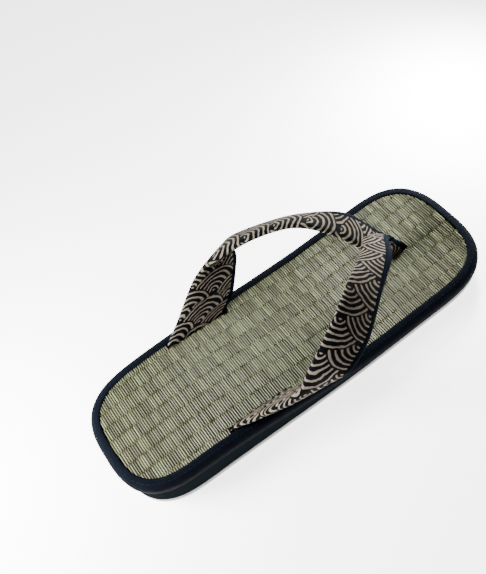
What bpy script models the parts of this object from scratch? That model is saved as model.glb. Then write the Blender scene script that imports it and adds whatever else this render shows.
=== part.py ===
"""A zori sandal: rubber outsole, wedge midsole, rush footbed with a cloth binding, and a padded V strap.

Metres, +Z up, toe towards +Y. The origin is on the floor below the middle of the sandal.
"""

import math

import bmesh
import bpy
from mathutils import Vector

# Sole and footbed
SOLE_LENGTH = 0.2472
BALL_WIDTH = 0.0872
HEEL_WIDTH = 0.0796
HEEL_WIDTH_END = 0.10
BALL_WIDTH_START = 0.62
TOE_ROUND = 0.0455
HEEL_ROUND = 0.0448
CORNER_POWER = 2.9
HEEL_HEIGHT = 0.0278
BALL_HEIGHT = 0.0148
TOE_LIFT = 0.0009
HEEL_FLAT_END = 0.157
BALL_START = 0.679
TOE_LIFT_START = 0.80
OUTSOLE_THICKNESS = 0.0038
FOOTBED_THICKNESS = 0.0070
WALL_INSET = 0.0015
EDGE_ROUND = 0.0006

# Binding round the footbed. Its outer side falls away in a long round, as tape over a soft edge does.
BINDING_WIDTH = 0.0068
BINDING_RISE = 0.0005
BINDING_FALL = 0.0043
BINDING_LIP_ROUND = 0.0012
BINDING_FOOT_ROUND = 0.0008

# Strap
STRAP_THICKNESS = 0.0054
STRAP_RISE = 0.0505
STRAP_FLARE = 0.0175
SLOT_CENTRE = 0.337
SLOT_LENGTH = 0.040
SLOT_DEPTH_IN = 0.0019
SLOT_STRAP = 0.0030
SLIT_CENTRE = 0.818
SLIT_LENGTH = 0.018
SLIT_STRAP = 0.0028
SLIT_SPREAD = 0.0013
EDGING_WIDTH = 0.0032
EDGING_STEP = 0.0003
EDGING_TUCK = 0.4
SECTION_POWER = 2.6

CLEARANCE = 0.0003
SEAT = 0.0006

# Rows of one leg from the side slot to the crossing at the toe. side is a share of the strap's reach, along a
# share of the way from the side slot to the toe slit, rise a share of STRAP_RISE above the footbed, and thick a
# share of STRAP_THICKNESS.
LEG_COLUMNS = ("rear_side", "rear_along", "rear_rise", "front_side", "front_along", "front_rise", "thick")
LEG_ROWS = (
    (0.764, -0.065, 0.154, 0.744, 0.250, 0.103, 0.85),
    (0.946, 0.126, 0.455, 0.968, 0.364, 0.380, 1.00),
    (0.866, 0.252, 0.683, 1.096, 0.390, 0.556, 1.00),
    (0.682, 0.453, 0.927, 0.962, 0.539, 0.636, 1.00),
    (0.446, 0.623, 0.998, 0.682, 0.714, 0.749, 1.00),
    (0.150, 0.770, 0.715, 0.412, 0.870, 0.705, 1.00),
)
# The crossing row of the leg that lies over, and of the leg that passes under. The slit's rows follow it.
OVER_ROW = (-0.150, 0.890, 0.430, 0.020, 0.987, 0.380, 0.95)
UNDER_ROW = (-0.120, 0.890, 0.240, 0.180, 0.983, 0.320, 0.95)
ROWS_IN_SLIT = 2

# Steps of the smooth forms
END_STEPS = 11
SIDE_STEPS = 26
SECTION_STEPS = 16
SPAN_STEPS = 7
CORNER_STEPS = 2
FALL_STEPS = 5
SHARP_ANGLE = math.radians(40.0)
LARGEST_BEVEL = 0.3

# Colours are linear
OUTSOLE_COLOUR = (0.56, 0.56, 0.54)
MIDSOLE_COLOUR = (0.012, 0.014, 0.017)
FOOTBED_COLOUR = (0.23, 0.23, 0.15)
BINDING_COLOUR = (0.004, 0.006, 0.014)
STRAP_COLOUR = (0.16, 0.13, 0.10)
EDGING_COLOUR = (0.004, 0.008, 0.020)


def clear_scene():
    for item in list(bpy.data.objects):
        bpy.data.objects.remove(item, do_unlink=True)


def collection(name):
    group = bpy.data.collections.get(name) or bpy.data.collections.new(name)
    if name not in bpy.context.scene.collection.children:
        bpy.context.scene.collection.children.link(group)
    return group


def material(name, colour, roughness):
    finish = bpy.data.materials.new(name)
    finish.use_nodes = True
    shader = finish.node_tree.nodes["Principled BSDF"]
    shader.inputs["Base Color"].default_value = (*colour, 1.0)
    shader.inputs["Roughness"].default_value = roughness
    shader.inputs["Metallic"].default_value = 0.0
    return finish


def smooth_step(share):
    share = min(max(share, 0.0), 1.0)
    return share * share * (3.0 - 2.0 * share)


def share_along(along):
    """Where a place lies between the heel end at 0 and the toe end at 1."""
    return along / SOLE_LENGTH + 0.5


def place_along(share):
    return (share - 0.5) * SOLE_LENGTH


def footbed_height(along):
    """Top of the footbed above the floor: a raised heel, a slope through the arch, a low ball and toe."""
    share = share_along(along)
    fall = smooth_step((share - HEEL_FLAT_END) / (BALL_START - HEEL_FLAT_END))
    lift = smooth_step((share - TOE_LIFT_START) / (1.0 - TOE_LIFT_START))
    return HEEL_HEIGHT + (BALL_HEIGHT - HEEL_HEIGHT) * fall + TOE_LIFT * lift


def side_width(along):
    """Half width of the sole between its rounded ends."""
    widening = (share_along(along) - HEEL_WIDTH_END) / (BALL_WIDTH_START - HEEL_WIDTH_END)
    return 0.5 * (HEEL_WIDTH + (BALL_WIDTH - HEEL_WIDTH) * smooth_step(widening))


def sole_half():
    """Half of the sole's outline, heel to toe, as (half width, along)."""
    heel = -0.5 * SOLE_LENGTH
    toe = 0.5 * SOLE_LENGTH
    power = 2.0 / CORNER_POWER
    points = []
    for step in range(1, END_STEPS + 1):
        angle = 0.5 * math.pi * step / END_STEPS
        along = heel + HEEL_ROUND * (1.0 - math.cos(angle) ** power)
        points.append((side_width(along) * math.sin(angle) ** power, along))
    for step in range(1, SIDE_STEPS):
        along = heel + HEEL_ROUND + (SOLE_LENGTH - HEEL_ROUND - TOE_ROUND) * step / SIDE_STEPS
        points.append((side_width(along), along))
    for step in range(END_STEPS, 0, -1):
        angle = 0.5 * math.pi * step / END_STEPS
        along = toe - TOE_ROUND * (1.0 - math.cos(angle) ** power)
        points.append((side_width(along) * math.sin(angle) ** power, along))
    return points


def normals(points):
    """Outward direction at each point of the half outline, which closes across the middle at both ends."""
    found = []
    for index, (width, along) in enumerate(points):
        before = points[index - 1] if index else (-width, along)
        after = points[index + 1] if index + 1 < len(points) else (-width, along)
        run = Vector((after[0] - before[0], after[1] - before[1])).normalized()
        found.append((run.y, -run.x))
    return found


def outline(inset):
    """The half outline moved inwards by inset."""
    base = sole_half()
    return [
        (width - inset * out[0], along - inset * out[1])
        for (width, along), out in zip(base, normals(base))
    ]


def mesh_object(name, mesh_builder, group, finish=None):
    mesh = bpy.data.meshes.new(name)
    mesh_builder.normal_update()
    mesh_builder.to_mesh(mesh)
    mesh_builder.free()
    item = bpy.data.objects.new(name, mesh)
    group.objects.link(item)
    if finish:
        mesh.materials.append(finish)
        mesh.shade_smooth()
        mesh.set_sharp_from_angle(angle=SHARP_ANGLE)
    return item


def loft(name, rings, group, finish=None, closed=False):
    """Skins matching rings of points; the ends are capped unless the loft closes on itself."""
    work = bmesh.new()
    loops = [[work.verts.new(point) for point in ring] for ring in rings]
    count = len(rings[0])
    spans = len(loops) if closed else len(loops) - 1
    for span in range(spans):
        near = loops[span]
        far = loops[(span + 1) % len(loops)]
        for corner in range(count):
            following = (corner + 1) % count
            work.faces.new((near[corner], near[following], far[following], far[corner]))
    if not closed:
        work.faces.new(loops[0])
        work.faces.new(loops[-1])
    bmesh.ops.triangulate(work, faces=work.faces, quad_method="SHORT_EDGE")
    bmesh.ops.recalc_face_normals(work, faces=work.faces)
    return mesh_object(name, work, group, finish)


def slab(name, inset, bottom, top, rounding, group, finish):
    """A sole layer: one cross section for each pair of outline points, between two height functions."""
    rings = []
    for width, along in outline(inset):
        low = bottom(along)
        high = top(along)
        bevel = min(rounding, LARGEST_BEVEL * width, LARGEST_BEVEL * (high - low))
        rings.append([
            Vector((-width + bevel, along, low)),
            Vector((width - bevel, along, low)),
            Vector((width, along, low + bevel)),
            Vector((width, along, high - bevel)),
            Vector((width - bevel, along, high)),
            Vector((-width + bevel, along, high)),
            Vector((-width, along, high - bevel)),
            Vector((-width, along, low + bevel)),
        ])
    return loft(name, rings, group, finish)


def outsole(group):
    finish = material("Outsole rubber", OUTSOLE_COLOUR, 0.7)
    return slab(
        "outsole", WALL_INSET, lambda along: 0.0, lambda along: OUTSOLE_THICKNESS, EDGE_ROUND, group, finish
    )


def footbed_bottom(along):
    return footbed_height(along) - FOOTBED_THICKNESS


def midsole(group):
    finish = material("Midsole foam", MIDSOLE_COLOUR, 0.65)
    return slab(
        "midsole",
        WALL_INSET,
        lambda along: OUTSOLE_THICKNESS + CLEARANCE,
        lambda along: footbed_bottom(along) - CLEARANCE,
        EDGE_ROUND,
        group,
        finish,
    )


def quarter(centre, wide, high, start, steps):
    """Points clockwise on a quarter of an oval of a section, as (outward, up)."""
    angles = [math.radians(start - 90.0 * step / steps) for step in range(steps + 1)]
    return [(centre[0] + wide * math.cos(angle), centre[1] + high * math.sin(angle)) for angle in angles]


def binding_section():
    """Section of the folded tape, outward from the footbed's edge and up from its top."""
    lip = BINDING_LIP_ROUND
    foot = BINDING_FOOT_ROUND
    inner = CLEARANCE + lip
    low = -FOOTBED_THICKNESS
    section = [(CLEARANCE, low)]
    section += quarter((inner, BINDING_RISE - lip), lip, lip, 180.0, CORNER_STEPS)
    fall = quarter((inner, BINDING_RISE - BINDING_FALL), BINDING_WIDTH - inner, BINDING_FALL, 90.0, FALL_STEPS)
    section += fall[1:]
    section += quarter((BINDING_WIDTH - foot, low + foot), foot, foot, 0.0, CORNER_STEPS)
    return section


def binding(group):
    """The tape round the footbed's edge, swept round the whole outline."""
    base = outline(BINDING_WIDTH)
    rings = []
    section = binding_section()
    for side in (1.0, -1.0):
        half = list(zip(base, normals(base)))
        for (width, along), out in half if side > 0.0 else reversed(half):
            height = footbed_height(along)
            rings.append([
                Vector((side * (width + out[0] * reach), along + out[1] * reach, height + up))
                for reach, up in section
            ])
    finish = material("Binding cotton", BINDING_COLOUR, 0.85)
    return loft("binding", rings, group, finish, closed=True)


def footbed_side(along):
    return side_width(along) - BINDING_WIDTH


def slot_along():
    return place_along(SLOT_CENTRE)


def slit_along():
    return place_along(SLIT_CENTRE)


def slot_side():
    """Middle of the strap where it comes up between footbed and binding."""
    return footbed_side(slot_along()) - SLOT_DEPTH_IN


def strap_reach():
    return slot_side() + STRAP_FLARE


def leg_point(row, edge):
    """One edge of one table row as a place above the footbed."""
    value = dict(zip(LEG_COLUMNS, row))
    along = slot_along() + value[edge + "_along"] * (slit_along() - slot_along())
    return Vector((
        value[edge + "_side"] * strap_reach(),
        along,
        footbed_height(along) + value[edge + "_rise"] * STRAP_RISE,
    ))


def slot_row(side, middle, length, rise, thickness):
    """A row whose width lies along the sandal, where the strap passes through the footbed."""
    rear = middle - 0.5 * length
    front = middle + 0.5 * length
    return (
        Vector((side, rear, footbed_height(rear) + rise)),
        Vector((side, front, footbed_height(front) + rise)),
        thickness,
    )


def leg_rows(crossing, slit_side):
    """Rear edge, front edge and thickness of every row of a right leg, from its slot to the toe slit."""
    seat = SEAT - FOOTBED_THICKNESS
    rows = [
        slot_row(slot_side(), slot_along(), SLOT_LENGTH, seat, SLOT_STRAP),
        slot_row(slot_side(), slot_along(), SLOT_LENGTH, 0.0, SLOT_STRAP),
    ]
    for row in (*LEG_ROWS, crossing):
        thickness = row[LEG_COLUMNS.index("thick")] * STRAP_THICKNESS
        rows.append((leg_point(row, "rear"), leg_point(row, "front"), thickness))
    rows.append(slot_row(slit_side, slit_along(), SLIT_LENGTH, BINDING_RISE, SLIT_STRAP))
    rows.append(slot_row(slit_side, slit_along(), SLIT_LENGTH, seat, SLIT_STRAP))
    return rows


def slope(before, after):
    """Slope of a curve through the rows: level beside a stretch that stands still, so it never overshoots one."""
    if before * after == 0.0:
        return 0.0
    return 0.5 * (before + after)


def steady(values, position):
    """Smooth value at a fractional row."""
    last = len(values) - 1
    index = min(int(position), last - 1)
    share = position - index
    steps = [far - near for near, far in zip(values, values[1:])]
    rise = steps[index]
    start = slope(steps[index - 1], rise) if index else rise
    stop = slope(rise, steps[index + 1]) if index + 1 < last else rise
    bend = 3.0 * rise - 2.0 * start - stop
    turn = start + stop - 2.0 * rise
    return values[index] + start * share + bend * share**2 + turn * share**3


def between(points, position):
    """The same for places, axis by axis."""
    return Vector(steady([point[axis] for point in points], position) for axis in range(3))


def leg_frames(rows, end):
    """Centre, width and thickness directions, half width and half thickness, at even steps along a leg."""
    rears, fronts, thicknesses = zip(*rows)
    steps = round(end * SPAN_STEPS)
    positions = [end * step / steps for step in range(steps + 1)]
    edges = [(between(rears, place), between(fronts, place)) for place in positions]
    centres = [0.5 * (rear + front) for rear, front in edges]
    frames = []
    for step, (rear, front) in enumerate(edges):
        run = centres[min(step + 1, steps)] - centres[max(step - 1, 0)]
        across = (front - rear).normalized()
        outer = across.cross(run).normalized()
        half = 0.5 * (front - rear).length
        frames.append((centres[step], across, outer, half, 0.5 * steady(thicknesses, positions[step])))
    return frames


def rounded(half, deep, angle):
    """A point of the strap's flat rounded section."""
    power = 2.0 / SECTION_POWER
    across = math.copysign(abs(math.cos(angle)) ** power, math.cos(angle))
    up = math.copysign(abs(math.sin(angle)) ** power, math.sin(angle))
    return half * across, deep * up


def arc_angles(start, end, steps):
    return [start + (end - start) * step / steps for step in range(steps + 1)]


def split_angle(half, width):
    """Angle at which the section is width away from its front edge."""
    return math.acos(((half - width) / half) ** (0.5 * SECTION_POWER))


def leg_loft(name, rows, piece, group, finish=None, grow=0.0, end=None):
    """A leg, or its cover or edging alone, as a loft of rounded sections."""
    rings = []
    for centre, across, outer, half, deep in leg_frames(rows, end or len(rows) - 1):
        if piece == "cover":
            split = split_angle(half, EDGING_WIDTH + CLEARANCE)
            angles = arc_angles(split, 2.0 * math.pi - split, SECTION_STEPS)
        elif piece == "edging":
            split = split_angle(half, EDGING_WIDTH + grow)
            angles = arc_angles(-split, split, SECTION_STEPS // 2)
            deep -= EDGING_STEP
        else:
            angles = arc_angles(0.0, 2.0 * math.pi, SECTION_STEPS)[:-1]
        ring = []
        for angle in angles:
            reach, up = rounded(half + grow, deep + grow, angle)
            ring.append(centre + across * reach + outer * up)
        rings.append(ring)
    return loft(name, rings, group, finish)


def mirrored(rows):
    """The same rows for the left leg."""
    flip = Vector((-1.0, 1.0, 1.0))
    return [(rear * flip, front * flip, thickness) for rear, front, thickness in rows]


def as_cutter(item):
    item.display_type = "WIRE"
    item.hide_render = True
    return item


def boolean(target, cutter, operation):
    modifier = target.modifiers.new(operation.title(), "BOOLEAN")
    modifier.object = cutter
    modifier.operation = operation
    modifier.solver = "EXACT"


def strap(group, cutters):
    """Both legs as one solid with a cloth edging along the front of each."""
    over = leg_rows(OVER_ROW, -SLIT_SPREAD)
    under = mirrored(leg_rows(UNDER_ROW, -SLIT_SPREAD))
    cover_finish = material("Strap cloth", STRAP_COLOUR, 0.85)
    edging_finish = material("Edging velvet", EDGING_COLOUR, 0.9)

    over_cover = as_cutter(leg_loft("over_leg_cover", over, "cover", cutters))
    under_edging_space = as_cutter(leg_loft("under_edging_space", under, "edging", cutters, grow=CLEARANCE))
    under_leg_space = as_cutter(leg_loft("under_leg_space", under, "whole", cutters, grow=CLEARANCE))
    boolean(over_cover, under_edging_space, "DIFFERENCE")

    body = leg_loft("strap", under, "cover", group, cover_finish)
    boolean(body, over_cover, "UNION")

    leg_loft("strap_edging_left", under, "edging", group, edging_finish)
    crossing = len(over) - 1 - ROWS_IN_SLIT
    tucked = crossing + EDGING_TUCK
    right = leg_loft("strap_edging_right", over, "edging", group, edging_finish, end=tucked)
    boolean(right, under_leg_space, "DIFFERENCE")
    return body


def box(name, low, high, cutters):
    """A cutter between two corners."""
    work = bmesh.new()
    bmesh.ops.create_cube(work, size=1.0)
    middle = 0.5 * (low + high)
    size = high - low
    for vertex in work.verts:
        vertex.co = Vector((vertex.co.x * size.x, vertex.co.y * size.y, vertex.co.z * size.z)) + middle
    return as_cutter(mesh_object(name, work, cutters))


def footbed(group, cutters):
    """The rush mat on its backing, notched at both sides for the strap and slit at the toe."""
    finish = material("Rush mat", FOOTBED_COLOUR, 0.75)
    mat = slab("footbed", BINDING_WIDTH, footbed_bottom, footbed_height, EDGE_ROUND, group, finish)
    low = OUTSOLE_THICKNESS
    high = HEEL_HEIGHT + STRAP_RISE
    for side, name in ((1.0, "slot_right"), (-1.0, "slot_left")):
        inner = side * (slot_side() - 0.5 * SLOT_STRAP - CLEARANCE)
        outer = side * BALL_WIDTH
        reach = 0.5 * SLOT_LENGTH + CLEARANCE
        cutter = box(
            name,
            Vector((min(inner, outer), slot_along() - reach, low)),
            Vector((max(inner, outer), slot_along() + reach, high)),
            cutters,
        )
        boolean(mat, cutter, "DIFFERENCE")
    side = SLIT_SPREAD + 0.5 * SLIT_STRAP + CLEARANCE
    reach = 0.5 * SLIT_LENGTH + CLEARANCE
    slit = box(
        "slit",
        Vector((-side, slit_along() - reach, low)),
        Vector((side, slit_along() + reach, high)),
        cutters,
    )
    boolean(mat, slit, "DIFFERENCE")
    return mat


def build():
    clear_scene()
    sandal = collection("Zori sandal")
    cutters = collection("Cutters")
    outsole(sandal)
    midsole(sandal)
    footbed(sandal, cutters)
    binding(sandal)
    strap(sandal, cutters)


build()
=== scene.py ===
"""A zori sandal: a rush footbed in cloth binding on a foam wedge, with a padded V strap.

The strap's cloth has a traditional wave print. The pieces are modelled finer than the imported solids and
stand in their places, in the same frame: metres, +Z up, toe towards +Y.
"""

import math
import random

import bpy
from bpy.props import FloatProperty, FloatVectorProperty, PointerProperty
from mathutils import Matrix, Vector, noise

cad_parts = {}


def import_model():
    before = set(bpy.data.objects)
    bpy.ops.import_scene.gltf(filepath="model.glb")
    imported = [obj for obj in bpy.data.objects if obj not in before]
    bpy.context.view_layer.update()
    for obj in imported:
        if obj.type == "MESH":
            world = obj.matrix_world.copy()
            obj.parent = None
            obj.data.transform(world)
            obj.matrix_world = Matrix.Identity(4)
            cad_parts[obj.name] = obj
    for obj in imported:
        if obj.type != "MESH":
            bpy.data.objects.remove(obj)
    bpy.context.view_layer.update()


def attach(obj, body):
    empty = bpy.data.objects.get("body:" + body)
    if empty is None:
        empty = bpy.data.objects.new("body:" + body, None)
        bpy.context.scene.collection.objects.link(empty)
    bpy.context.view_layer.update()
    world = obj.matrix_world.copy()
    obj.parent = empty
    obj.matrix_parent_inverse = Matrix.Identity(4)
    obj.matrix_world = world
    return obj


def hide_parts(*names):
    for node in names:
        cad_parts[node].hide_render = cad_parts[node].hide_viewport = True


bl_info = {
    "name": "Zori sandal",
    "version": (1, 0, 0),
    "blender": (4, 5, 0),
    "location": "3D View > Sidebar > Zori",
    "description": "Models the looks of a zori sandal in the places of its packed solids",
    "category": "Add Mesh",
}

# Shares of the sole's length, from the heel at 0 to the toe at 1
HEEL_WIDTH_END = 0.10
BALL_WIDTH_START = 0.62
HEEL_FLAT_END = 0.157
BALL_START = 0.679
TOE_LIFT_START = 0.80
SLOT_CENTRE = 0.337
SLIT_CENTRE = 0.818

# Roundness of the sole's corners and of the strap's section: 2 is an oval, higher is squarer
CORNER_POWER = 2.9
SECTION_POWER = 2.6

# Rows of one leg from the side slot to the crossing at the toe. side is a share of the strap's reach, along a
# share of the way from the side slot to the toe slit, rise a share of the strap's rise above the footbed, and
# thick a share of its thickness.
LEG_COLUMNS = ("rear_side", "rear_along", "rear_rise", "front_side", "front_along", "front_rise", "thick")
LEG_ROWS = (
    (0.764, -0.065, 0.154, 0.744, 0.250, 0.103, 0.85),
    (0.946, 0.126, 0.455, 0.968, 0.364, 0.380, 1.00),
    (0.866, 0.252, 0.683, 1.096, 0.390, 0.556, 1.00),
    (0.682, 0.453, 0.927, 0.962, 0.539, 0.636, 1.00),
    (0.446, 0.623, 0.998, 0.682, 0.714, 0.749, 1.00),
    (0.150, 0.770, 0.715, 0.412, 0.870, 0.705, 1.00),
)
OVER_ROW = (-0.150, 0.890, 0.430, 0.020, 0.987, 0.380, 0.95)
UNDER_ROW = (-0.120, 0.890, 0.240, 0.180, 0.983, 0.320, 0.95)
ROWS_IN_SLIT = 2
EDGING_TUCK = 0.4

# Where the print starts on each leg, along and across the cloth, in metres
LEFT_PRINT = (0.0065, 0.0)
RIGHT_PRINT = (0.0018, 0.0062)

# Noise patches in a metre, with the size of one before any stretch
RUBBER_MOTTLE = 220.0  # 4.5 mm
FOAM_MOTTLE = 90.0  # 11 mm
FOAM_PITS = 2600.0  # 0.4 mm
RUSH_PATCHES = 22.0  # 45 mm
RUSH_STREAKS = 1500.0  # 0.7 mm
BACKING_FIBRES = 900.0  # 1.1 mm
THREAD_FIBRES = 700.0  # 1.4 mm
THREAD_TWIST = 2400.0  # 0.4 mm
COTTON_FADE = 150.0  # 7 mm
COTTON_PUCKERS = 260.0  # 4 mm
PRINT_WOBBLE = 160.0  # 6 mm
PRINT_SWELL = 260.0  # 4 mm
PRINT_FADE = 500.0  # 2 mm
VELVET_NAP = 700.0  # 1.4 mm

# Ribs on faces of the outsole that point down, and the spacing of the threads in the two cloths, in metres
RIB_FACING = -0.9
RIB_PITCH = 0.004
COTTON_WEAVE = 0.0007
CLOTH_WEAVE = 0.0006

# Depth of each relief in metres
RIB_DEPTH = 0.0005
FOAM_DEPTH = 0.00012
RUSH_DEPTH = 0.0001
BACKING_DEPTH = 0.0002
THREAD_DEPTH = 0.0001
CLOTH_DEPTH = 0.00022
VELVET_DEPTH = 0.0002

# The printed waves wander within this many metres from side to side
PRINT_WANDER = 0.0022

# Shares of the spacing of the lines: change of half a line's width, where ink thins out and where it ends,
# from the middle of a line, and the radius of the dot in a fan
LINE_SWELL = 0.16
LINE_INSIDE = 0.15
LINE_OUTSIDE = 0.215
DOT_RADIUS = 0.36

# A fan shows where it lies further ahead of its centre than this share of the distance
FAN_OPENING = 0.12

# Tone of the rush from 0 to 1: mean and spread from strand to strand, spread from float to float, and where
# and how fast it turns dark and pale
FLOAT_SEED = 11
STRAND_TONE = 0.55
STRAND_SPREAD = 0.20
FLOAT_SPREAD = 0.11
DARK_BELOW = 0.55
DARK_RATE = 1.9
PALE_ABOVE = 0.45
PALE_RATE = 1.8

# Limits of chance for a float: its shift, width and ends as shares of the pitch, and its lift of the height
FLOAT_SHIFT = (-0.07, 0.07)
FLOAT_WIDTH = (0.62, 0.80)
FLOAT_LIFT = (-0.16, 0.10)
FLOAT_ENDS = (-0.25, 0.5)

# Threads: sides of their section, steps of a warp thread, how deep it lies as a share of the mat's drop, and
# one stitch from end to end as (share of its length, rise in radii)
THREAD_SIDES = 6
WARP_STEPS = 160
WARP_DEPTH = 0.55
STITCH_STATIONS = ((-0.5, -0.9), (-0.36, 0.25), (0.0, 0.6), (0.36, 0.25), (0.5, -0.9))

# Soft ripples of the padded strap, as (ripples in a metre, height in metres)
STRAP_RIPPLES = ((110.0, 0.00016), (380.0, 0.00006))

# Lights as (name, place, target, size, power), then the sky and the floor
LIGHTS = (
    ("Key", (-0.06, -0.25, 0.17), (0.0, -0.09, 0.02), 0.14, 4.6),
    ("Toe light", (-0.09, 0.22, 0.10), (-0.02, 0.12, 0.015), 0.05, 2.2),
    ("Fill", (0.70, 0.20, 0.70), (0.0, 0.0, 0.0), 0.6, 0.15),
)
SKY_STRENGTH = 0.12
FLOOR_GLOW = 3.5
FLOOR_SIZE = 40.0

# Steps of the smooth forms
END_STEPS = 34
SIDE_STEPS = 60
ROUND_STEPS = 5
FALL_STEPS = 14
SPAN_STEPS = 16
SECTION_STEPS = 48
SHARP_ANGLE = math.radians(40.0)

# The camera: its place, its rightward, downward and forward directions, and its lens
CAMERA_PLACE = (0.20012, -0.06850, 0.41075)
CAMERA_RIGHT = (0.56299, 0.79862, -0.21272)
CAMERA_DOWN = (0.63568, -0.58293, -0.50607)
CAMERA_FORWARD = (-0.52816, 0.14969, -0.83585)
CAMERA_LENS = 57.09
CAMERA_SHIFT = (0.0017, -0.0263)
CAMERA_SENSOR = 36.0
CAMERA_CLIP = (0.01, 20.0)


def linear(code):
    """An sRGB hex colour as linear red, green and blue."""
    shares = [int(code[place:place + 2], 16) / 255.0 for place in (1, 3, 5)]
    return tuple(
        share / 12.92 if share <= 0.04045 else ((share + 0.055) / 1.055) ** 2.4 for share in shares
    )


def length(name, description, default):
    return FloatProperty(
        name=name, description=description, default=default, min=0.0, precision=5, unit="LENGTH"
    )


def colour(name, description, code):
    return FloatVectorProperty(
        name=name, description=description, default=linear(code), min=0.0, max=1.0, subtype="COLOR"
    )


class ZoriSizes(bpy.types.PropertyGroup):
    """Real sizes of the sandal"""

    sole_length: length("Sole length", "Heel to toe over the binding", 0.2472)
    ball_width: length("Ball width", "Over the binding at the ball of the foot", 0.0872)
    heel_width: length("Heel width", "Over the binding at the heel", 0.0796)
    toe_round: length("Toe round", "Length of the rounded toe", 0.0455)
    heel_round: length("Heel round", "Length of the rounded heel", 0.0448)
    heel_height: length("Heel height", "Top of the footbed at the heel", 0.0278)
    ball_height: length("Ball height", "Top of the footbed at the ball", 0.0148)
    toe_lift: length("Toe lift", "Rise of the footbed to the toe", 0.0009)
    outsole_thickness: length("Outsole thickness", "Rubber under the wedge", 0.0038)
    footbed_thickness: length("Footbed thickness", "Rush mat with its backing", 0.0070)
    wall_inset: length("Wall inset", "How far the sole's wall stands inside the binding", 0.0015)
    edge_round: length("Edge round", "Rounding of the edges of rubber and foam", 0.0006)
    binding_width: length("Binding width", "Tape on top of the edge", 0.0068)
    binding_rise: length("Binding rise", "Tape above the mat", 0.0005)
    binding_fall: length("Binding fall", "Drop of the tape to its outer edge", 0.0043)
    binding_lip: length("Binding lip", "Rounding of the tape's inner edge", 0.0012)
    binding_foot: length("Binding foot", "Rounding of the tape's lower edge", 0.0008)
    strap_thickness: length("Strap thickness", "Padded cloth", 0.0054)
    strap_rise: length("Strap rise", "Crest of the strap above the footbed", 0.0505)
    strap_flare: length("Strap flare", "How far the strap leans out over the slot", 0.0175)
    slot_length: length("Slot length", "Side slots along the sandal", 0.040)
    slot_depth: length("Slot depth", "Middle of the slot inside the footbed's edge", 0.0019)
    slot_strap: length("Strap in the slot", "Thickness where the strap goes down", 0.0030)
    slit_length: length("Slit length", "Toe slit along the sandal", 0.018)
    slit_strap: length("Strap in the slit", "Thickness of one leg in the toe slit", 0.0028)
    slit_spread: length("Slit spread", "Middle of one leg beside the middle of the slit", 0.0013)
    edging_width: length("Edging width", "Velvet along the strap's front edge", 0.0032)
    edging_step: length("Edging step", "How much thinner the velvet is on each face", 0.0003)
    clearance: length("Clearance", "Gap between neighbouring pieces", 0.0003)
    seat: length("Seat", "Strap end above the wedge", 0.0006)
    mat_drop: length("Mat drop", "Backing below the tops of the rush floats", 0.0008)
    rush_pitch: length("Rush pitch", "One rush float to the next", 0.00138)
    rush_height: length("Rush height", "Thickness of a float", 0.0007)
    float_tuck: length("Float tuck", "Rush under the lip of the binding", 0.0009)
    warp_pitch: length("Warp pitch", "One warp thread to the next", 0.0087)
    warp_radius: length("Warp radius", "Half the thickness of a warp thread", 0.0002)
    stitch_pitch: length("Stitch pitch", "One stitch of the binding to the next", 0.0030)
    stitch_length: length("Stitch length", "Thread that shows of one stitch", 0.0019)
    stitch_radius: length("Stitch radius", "Half the thickness of the thread", 0.00016)
    fan_radius: length("Fan radius", "Radius of one fan of the waves", 0.0159)
    fan_row: length("Fan row", "One row of fans to the next", 0.0089)
    fan_line: length("Fan line", "One line of a fan to the next", 0.0029)


class ZoriColours(bpy.types.PropertyGroup):
    """Colours of the sandal's materials"""

    rubber: colour("Rubber", "Outsole", "#8e8e8a")
    rubber_mottle: colour("Rubber mottle", "Clouds in the outsole", "#a5a5a0")
    foam: colour("Foam", "Wedge", "#0d1113")
    foam_mottle: colour("Foam mottle", "Clouds in the wedge", "#14181b")
    # The paler colour of the wedge's upper rounded edge is a painted highlight
    foam_rim_highlight: colour("Foam rim", "Painted highlight on the upper edge of the wedge", "#171b1f")
    rush_pale: colour("Pale rush", "Lightest floats", "#6f7753")
    rush_green: colour("Green rush", "Most of the floats", "#3d432a")
    rush_dark: colour("Dark rush", "Darkest floats", "#292816")
    rush_straw: colour("Straw", "Sunned patches of the mat", "#5c5230")
    # Both backing tones are the backing's own colour darkened to near black as painted shade in the gaps
    # between the floats
    backing_painted_shade: colour("Backing", "Mat between the floats", "#090804")
    backing_fibre_painted_shade: colour("Backing fibre", "Fibres of the mat between the floats", "#1c1a0f")
    warp: colour("Warp", "Hemp thread across the rush", "#252416")
    cotton: colour("Cotton", "Binding tape", "#010307")
    cotton_fade: colour("Faded cotton", "Rubbed places of the tape", "#070b14")
    thread: colour("Thread", "Stitches of the binding", "#0b1424")
    cloth: colour("Cloth", "Ground of the strap", "#020306")
    print: colour("Print", "Waves on the strap", "#7a7163")
    print_fade: colour("Faded print", "Worn places of the waves", "#5c554a")
    velvet: colour("Velvet", "Edging of the strap", "#01050b")
    velvet_nap: colour("Velvet nap", "Pile that lies the other way", "#030b16")
    velvet_sheen: colour("Velvet sheen", "Tips of the pile", "#1b3a58")
    floor: colour("Floor", "Studio floor", "#f4f4f3")


def smooth_step(share):
    share = min(max(share, 0.0), 1.0)
    return share * share * (3.0 - 2.0 * share)


def share_along(s, along):
    """Where a place lies between the heel end at 0 and the toe end at 1."""
    return along / s.sole_length + 0.5


def place_along(s, share):
    return (share - 0.5) * s.sole_length


def footbed_height(s, along):
    """Top of the footbed above the floor: a raised heel, a slope through the arch, a low ball and toe."""
    share = share_along(s, along)
    fall = smooth_step((share - HEEL_FLAT_END) / (BALL_START - HEEL_FLAT_END))
    lift = smooth_step((share - TOE_LIFT_START) / (1.0 - TOE_LIFT_START))
    return s.heel_height + (s.ball_height - s.heel_height) * fall + s.toe_lift * lift


def side_width(s, along):
    """Half width of the sole between its rounded ends."""
    widening = (share_along(s, along) - HEEL_WIDTH_END) / (BALL_WIDTH_START - HEEL_WIDTH_END)
    return 0.5 * (s.heel_width + (s.ball_width - s.heel_width) * smooth_step(widening))


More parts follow.
